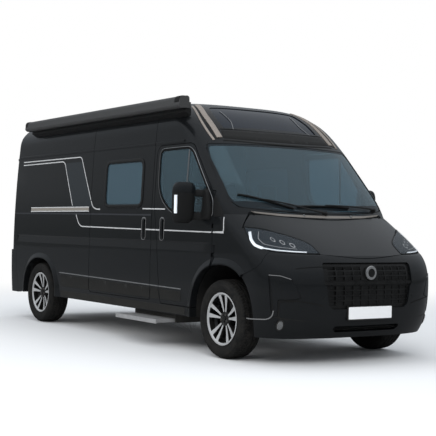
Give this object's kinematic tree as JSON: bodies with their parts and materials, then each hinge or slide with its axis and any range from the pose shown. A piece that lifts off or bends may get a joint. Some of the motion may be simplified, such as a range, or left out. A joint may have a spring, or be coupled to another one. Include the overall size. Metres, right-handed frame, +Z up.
{
  "type": "camper van",
  "caption": "Long high-roof panel van fitted as a camper, with hinged cab and rear doors, lifting bonnet, steering, rolling wheels, side step and roof awning.",
  "frame": {"origin": "on the ground, on the centre plane, midway between the front and rear bumpers", "axes": "+X forward, +Y to the vehicle's left, +Z up"},
  "size_m": [5.998, 2.5682, 2.52],
  "materials": {
    "body_paint": "metallic gloss",
    "glass_tinted": "tinted",
    "glass_clear": "clear",
    "lamp_glass": "clear",
    "lamp_red": "gloss",
    "bumper_paint": "metallic gloss",
    "grille_black": "gloss",
    "trim_black": "grained",
    "awning_dark": "satin",
    "tyre": "matt",
    "alloy": "machined and black",
    "chassis_black": "satin",
    "steel": "worn",
    "engine_iron": "rough",
    "tank_grey": "matt",
    "dash_black": "grained",
    "seat_cloth": "woven",
    "cabinet_board": "laminate",
    "mattress_cloth": "woven",
    "step_metal": "ribbed",
    "floor_vinyl": "matt"
  },
  "bodies": {
    "body": {"roof_panel": "body_paint", "body_side_right": "body_paint", "body_side_left": "body_paint", "front_body": "body_paint", "windscreen": "glass_clear", "roof_window": "glass_tinted", "side_windows": "glass_tinted", "sliding_door": "body_paint", "headlamps": "lamp_glass", "front_bumper": "bumper_paint", "grille": "grille_black", "tail_lamps": "lamp_red", "rear_bumper": "bumper_paint", "floor_pan": "floor_vinyl", "arch_liners": "trim_black", "awning": "awning_dark", "chassis_frame": "chassis_black", "rear_axle": "chassis_black", "leaf_springs": "steel", "front_suspension": "chassis_black", "step_casing": "chassis_black", "engine_block": "engine_iron", "exhaust": "steel", "waste_tank": "tank_grey", "dashboard": "dash_black", "cab_seats": "seat_cloth", "bench_seat": "seat_cloth", "table": "cabinet_board", "galley": "cabinet_board", "washroom": "cabinet_board", "wardrobe": "cabinet_board", "bed_deck": "cabinet_board", "mattress": "mattress_cloth", "overhead_lockers": "cabinet_board"},
    "bonnet": {"bonnet": "body_paint"},
    "door_front_right": {"cab_door_right": "body_paint", "cab_glass_right": "glass_clear", "mirror_right": "trim_black"},
    "door_rear_right": {"rear_door_right": "body_paint", "rear_glass_right": "glass_tinted"},
    "knuckle_right": {"knuckle_right": "steel"},
    "wheel_front_right": {"tyre_front_right": "tyre", "rim_front_right": "alloy"},
    "wheel_rear_right": {"tyre_rear_right": "tyre", "rim_rear_right": "alloy"},
    "door_front_left": {"cab_door_left": "body_paint", "cab_glass_left": "glass_clear", "mirror_left": "trim_black"},
    "door_rear_left": {"rear_door_left": "body_paint", "rear_glass_left": "glass_tinted"},
    "knuckle_left": {"knuckle_left": "steel"},
    "wheel_front_left": {"tyre_front_left": "tyre", "rim_front_left": "alloy"},
    "wheel_rear_left": {"tyre_rear_left": "tyre", "rim_rear_left": "alloy"},
    "step": {"step_tread": "step_metal"},
    "steering_wheel": {"steering_wheel": "dash_black"}
  },
  "joints": [
    {"name": "door_front_right_hinge", "type": "hinge", "parent": "body", "child": "door_front_right", "pos_m": [1.868, -0.977, 1.1], "axis": [0, 0, 1], "range_deg": [0, 65]},
    {"name": "door_rear_right_hinge", "type": "hinge", "parent": "body", "child": "door_rear_right", "pos_m": [-2.963, -0.8715, 1.45], "axis": [0, 0, 1], "range_deg": [0, 180]},
    {"name": "steer_right", "type": "hinge", "parent": "body", "child": "knuckle_right", "pos_m": [2.051, -0.777, 0.369], "axis": [0, 0, 1], "range_deg": [-33, 33]},
    {"name": "wheel_front_right_spin", "type": "hinge", "parent": "knuckle_right", "child": "wheel_front_right", "pos_m": [2.051, -0.895, 0.369], "axis": [0, 1, 0], "continuous": true},
    {"name": "wheel_rear_right_spin", "type": "hinge", "parent": "body", "child": "wheel_rear_right", "pos_m": [-1.984, -0.895, 0.369], "axis": [0, 1, 0], "continuous": true},
    {"name": "door_front_left_hinge", "type": "hinge", "parent": "body", "child": "door_front_left", "pos_m": [1.868, 0.977, 1.1], "axis": [0, 0, -1], "range_deg": [0, 65]},
    {"name": "door_rear_left_hinge", "type": "hinge", "parent": "body", "child": "door_rear_left", "pos_m": [-2.963, 0.8715, 1.45], "axis": [0, 0, -1], "range_deg": [0, 180]},
    {"name": "steer_left", "type": "hinge", "parent": "body", "child": "knuckle_left", "pos_m": [2.051, 0.777, 0.369], "axis": [0, 0, 1], "range_deg": [-33, 33]},
    {"name": "wheel_front_left_spin", "type": "hinge", "parent": "knuckle_left", "child": "wheel_front_left", "pos_m": [2.051, 0.895, 0.369], "axis": [0, 1, 0], "continuous": true},
    {"name": "wheel_rear_left_spin", "type": "hinge", "parent": "body", "child": "wheel_rear_left", "pos_m": [-1.984, 0.895, 0.369], "axis": [0, 1, 0], "continuous": true},
    {"name": "bonnet_hinge", "type": "hinge", "parent": "body", "child": "bonnet", "pos_m": [2.212, 0, 1.343], "axis": [0, -1, 0], "range_deg": [0, 55]},
    {"name": "steering_column", "type": "hinge", "parent": "body", "child": "steering_wheel", "pos_m": [1.54, 0.43, 1.12], "axis": [-0.8829, 0, 0.4695], "range_deg": [-495, 495]},
    {"name": "step_slide", "type": "slide", "parent": "body", "child": "step", "axis": [0, -1, 0], "range_m": [-0.2, 0]}
  ],
  "couplings": [
    {"joint": "steer_right", "follows": "steer_left", "ratio": 1},
    {"joint": "steering_column", "follows": "steer_left", "ratio": 15}
  ]
}
